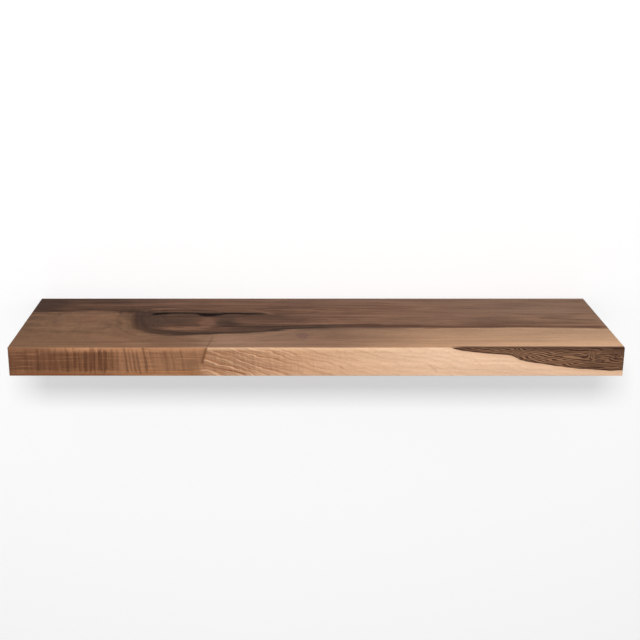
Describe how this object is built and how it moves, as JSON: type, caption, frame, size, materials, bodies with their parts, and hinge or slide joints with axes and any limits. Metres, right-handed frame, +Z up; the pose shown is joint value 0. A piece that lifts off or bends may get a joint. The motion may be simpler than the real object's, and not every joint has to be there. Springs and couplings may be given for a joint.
{
  "type": "floating wall shelf",
  "caption": "Solid walnut board shelf that slides onto hidden rods standing out of a steel wall rail and is locked from underneath.",
  "frame": {"origin": "on the wall plane, in the middle of the rail's back, on the axis of the centre rod, which is half-way up the board's thickness", "axes": "+X along the shelf to the right as seen from the room, +Y into the wall, +Z up; the shelf stands out from the wall towards -Y"},
  "size_m": [0.9, 0.3042, 0.044],
  "materials": {
    "walnut": "oiled, satin",
    "rail_steel": "black powder coat, fine texture",
    "rod_steel": "turned and brushed",
    "zinc_screws": "zinc plated",
    "black_screws": "black oxide, lightly oiled",
    "plug_nylon": "moulded nylon",
    "insert_brass": "machined"
  },
  "bodies": {
    "wall_bracket": {"wall_rail": "rail_steel", "rod_left": "rod_steel", "rod_centre": "rod_steel", "rod_right": "rod_steel", "rod_screw_left": "black_screws", "rod_screw_centre": "black_screws", "rod_screw_right": "black_screws", "wall_screw_outer_left": "zinc_screws", "wall_screw_inner_left": "zinc_screws", "wall_screw_inner_right": "zinc_screws", "wall_screw_outer_right": "zinc_screws", "wall_plug_outer_left": "plug_nylon", "wall_plug_inner_left": "plug_nylon", "wall_plug_inner_right": "plug_nylon", "wall_plug_outer_right": "plug_nylon"},
    "board": {"walnut_board": "walnut", "lock_insert_left": "insert_brass", "lock_insert_right": "insert_brass"},
    "lock_screw_left": {"lock_screw_left": "black_screws"},
    "lock_screw_right": {"lock_screw_right": "black_screws"}
  },
  "joints": [
    {"name": "board_slide", "type": "slide", "parent": "wall_bracket", "child": "board", "axis": [0, -1, 0], "range_m": [0, 0.165]},
    {"name": "lock_screw_left_travel", "type": "slide", "parent": "board", "child": "lock_screw_left", "axis": [0, 0, -1], "range_m": [0, 0.0024]},
    {"name": "lock_screw_right_travel", "type": "slide", "parent": "board", "child": "lock_screw_right", "axis": [0, 0, -1], "range_m": [0, 0.0024]}
  ]
}
